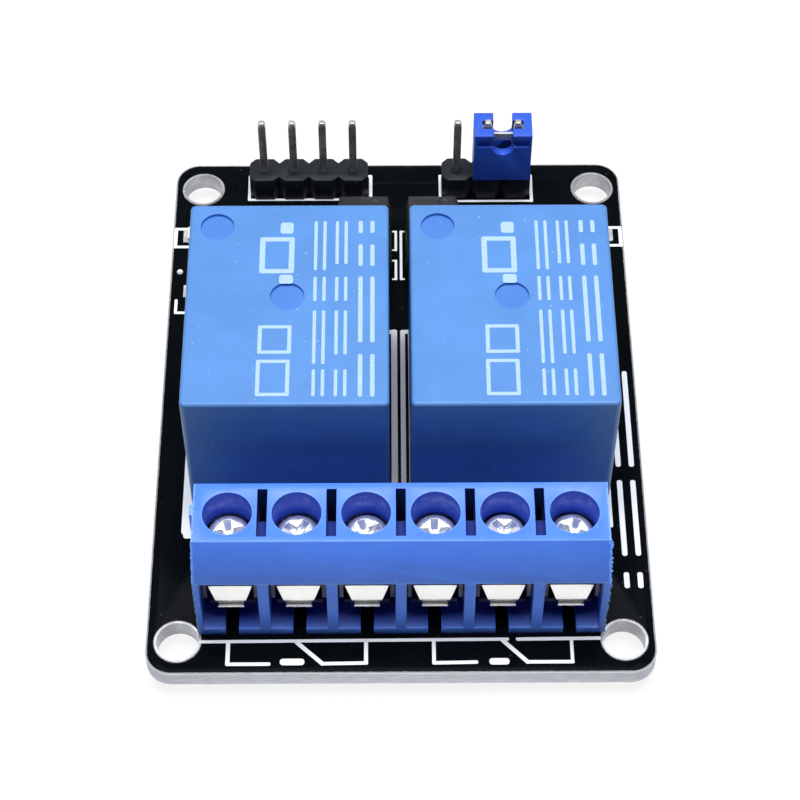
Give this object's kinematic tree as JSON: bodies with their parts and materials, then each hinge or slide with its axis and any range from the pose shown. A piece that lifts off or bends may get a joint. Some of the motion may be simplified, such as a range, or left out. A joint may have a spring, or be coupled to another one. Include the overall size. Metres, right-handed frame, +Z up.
{
  "type": "relay module board",
  "caption": "Black circuit board with cube relays, screw terminals, optocouplers, pin headers and a jumper, on corner mounting holes.",
  "frame": {"origin": "centre of the board's outline, at the level of the trimmed lead tips that it stands on", "axes": "+X to the right along the row of screw terminals, +Y from the terminals to the pin headers, +Z up"},
  "size_m": [0.0384, 0.0506, 0.0187],
  "materials": {
    "board": "black solder mask on glass laminate, glossy, pale cut edges",
    "plating": "tinned plating",
    "solder": "bright solder",
    "terminal_plastic": "moulded blue, slight sheen",
    "terminal_metal": "plated steel",
    "leaf_metal": "bright tin plate",
    "screw_metal": "bright zinc plate",
    "relay_plastic": "moulded light blue, satin",
    "relay_base_plastic": "moulded dark blue",
    "magnet_steel": "plated soft iron",
    "bobbin_plastic": "moulded off-white",
    "copper_wire": "enamelled copper wire",
    "contact_brass": "spring brass",
    "header_plastic": "moulded black, satin",
    "header_pin": "tinned square wire",
    "jumper_plastic": "moulded blue, slight gloss",
    "tinned_strip": "tinned strip",
    "opto_plastic": "moulded black, matt",
    "chip_ceramic": "black glazed chip",
    "led_lens": "clear pale resin",
    "diode_plastic": "moulded black"
  },
  "bodies": {
    "root": {"chip_end_caps": "solder", "chip_resistors": "chip_ceramic", "circuit_board": "board", "flyback_diodes": "diode_plastic", "indicator_leds": "led_lens", "input_header_body": "header_plastic", "input_header_pins": "header_pin", "left_optocoupler_body": "opto_plastic", "left_relay_base": "relay_base_plastic", "left_relay_bobbin": "bobbin_plastic", "left_relay_closed_contact": "contact_brass", "left_relay_coil_pins": "tinned_strip", "left_relay_core": "magnet_steel", "left_relay_cover": "relay_plastic", "left_relay_open_contact": "contact_brass", "left_relay_winding": "copper_wire", "left_relay_yoke": "magnet_steel", "mounting_hole_liners": "plating", "optocoupler_leads": "tinned_strip", "power_header_body": "header_plastic", "power_header_pins": "header_pin", "right_optocoupler_body": "opto_plastic", "right_relay_base": "relay_base_plastic", "right_relay_bobbin": "bobbin_plastic", "right_relay_closed_contact": "contact_brass", "right_relay_coil_pins": "tinned_strip", "right_relay_core": "magnet_steel", "right_relay_cover": "relay_plastic", "right_relay_open_contact": "contact_brass", "right_relay_winding": "copper_wire", "right_relay_yoke": "magnet_steel", "solder_joints": "solder", "surface_part_feet": "tinned_strip", "terminal_contact_1": "terminal_metal", "terminal_contact_2": "terminal_metal", "terminal_contact_3": "terminal_metal", "terminal_contact_4": "terminal_metal", "terminal_contact_5": "terminal_metal", "terminal_contact_6": "terminal_metal", "terminal_housing": "terminal_plastic", "transistors": "opto_plastic"},
    "jumper": {"jumper_cap": "jumper_plastic", "jumper_clip": "tinned_strip"},
    "clamp_1": {"clamp_leaf_1": "leaf_metal"},
    "screw_1": {"terminal_screw_1": "screw_metal"},
    "clamp_2": {"clamp_leaf_2": "leaf_metal"},
    "screw_2": {"terminal_screw_2": "screw_metal"},
    "clamp_3": {"clamp_leaf_3": "leaf_metal"},
    "screw_3": {"terminal_screw_3": "screw_metal"},
    "clamp_4": {"clamp_leaf_4": "leaf_metal"},
    "screw_4": {"terminal_screw_4": "screw_metal"},
    "clamp_5": {"clamp_leaf_5": "leaf_metal"},
    "screw_5": {"terminal_screw_5": "screw_metal"},
    "clamp_6": {"clamp_leaf_6": "leaf_metal"},
    "screw_6": {"terminal_screw_6": "screw_metal"},
    "left_armature": {"left_relay_armature": "magnet_steel", "left_relay_contact_spring": "contact_brass"},
    "right_armature": {"right_relay_armature": "magnet_steel", "right_relay_contact_spring": "contact_brass"}
  },
  "joints": [
    {"name": "jumper_lift", "type": "slide", "parent": "root", "child": "jumper", "axis": [0, 0, 1], "range_m": [0, 0.007]},
    {"name": "clamp_slide_1", "type": "slide", "parent": "root", "child": "clamp_1", "axis": [0, 0, 1], "range_m": [-0.0015, 0.0007]},
    {"name": "screw_turn_1", "type": "hinge", "parent": "clamp_1", "child": "screw_1", "pos_m": [-0.0127, -0.0175, 0.0096], "axis": [0, 0, 1], "range_deg": [-1200.5, 560.5]},
    {"name": "clamp_slide_2", "type": "slide", "parent": "root", "child": "clamp_2", "axis": [0, 0, 1], "range_m": [-0.0015, 0.0007]},
    {"name": "screw_turn_2", "type": "hinge", "parent": "clamp_2", "child": "screw_2", "pos_m": [-0.00762, -0.0175, 0.0096], "axis": [0, 0, 1], "range_deg": [-1200.5, 560.5]},
    {"name": "clamp_slide_3", "type": "slide", "parent": "root", "child": "clamp_3", "axis": [0, 0, 1], "range_m": [-0.0015, 0.0007]},
    {"name": "screw_turn_3", "type": "hinge", "parent": "clamp_3", "child": "screw_3", "pos_m": [-0.00254, -0.0175, 0.0096], "axis": [0, 0, 1], "range_deg": [-1200.5, 560.5]},
    {"name": "clamp_slide_4", "type": "slide", "parent": "root", "child": "clamp_4", "axis": [0, 0, 1], "range_m": [-0.0015, 0.0007]},
    {"name": "screw_turn_4", "type": "hinge", "parent": "clamp_4", "child": "screw_4", "pos_m": [0.00254, -0.0175, 0.0096], "axis": [0, 0, 1], "range_deg": [-1200.5, 560.5]},
    {"name": "clamp_slide_5", "type": "slide", "parent": "root", "child": "clamp_5", "axis": [0, 0, 1], "range_m": [-0.0015, 0.0007]},
    {"name": "screw_turn_5", "type": "hinge", "parent": "clamp_5", "child": "screw_5", "pos_m": [0.00762, -0.0175, 0.0096], "axis": [0, 0, 1], "range_deg": [-1200.5, 560.5]},
    {"name": "clamp_slide_6", "type": "slide", "parent": "root", "child": "clamp_6", "axis": [0, 0, 1], "range_m": [-0.0015, 0.0007]},
    {"name": "screw_turn_6", "type": "hinge", "parent": "clamp_6", "child": "screw_6", "pos_m": [0.0127, -0.0175, 0.0096], "axis": [0, 0, 1], "range_deg": [-1200.5, 560.5]},
    {"name": "left_armature_swing", "type": "hinge", "parent": "root", "child": "left_armature", "pos_m": [-0.00845, 0.0052, 0.01455], "axis": [1, 0, 0], "range_deg": [0, 2.5], "stiffness_Nm_per_rad": 0.002, "springref_deg": -8.59},
    {"name": "right_armature_swing", "type": "hinge", "parent": "root", "child": "right_armature", "pos_m": [0.00845, 0.0052, 0.01455], "axis": [1, 0, 0], "range_deg": [0, 2.5], "stiffness_Nm_per_rad": 0.002, "springref_deg": -8.59}
  ],
  "couplings": [
    {"joint": "screw_turn_1", "follows": "clamp_slide_1", "rad_per_m": 13963},
    {"joint": "screw_turn_2", "follows": "clamp_slide_2", "rad_per_m": 13963},
    {"joint": "screw_turn_3", "follows": "clamp_slide_3", "rad_per_m": 13963},
    {"joint": "screw_turn_4", "follows": "clamp_slide_4", "rad_per_m": 13963},
    {"joint": "screw_turn_5", "follows": "clamp_slide_5", "rad_per_m": 13963},
    {"joint": "screw_turn_6", "follows": "clamp_slide_6", "rad_per_m": 13963}
  ]
}
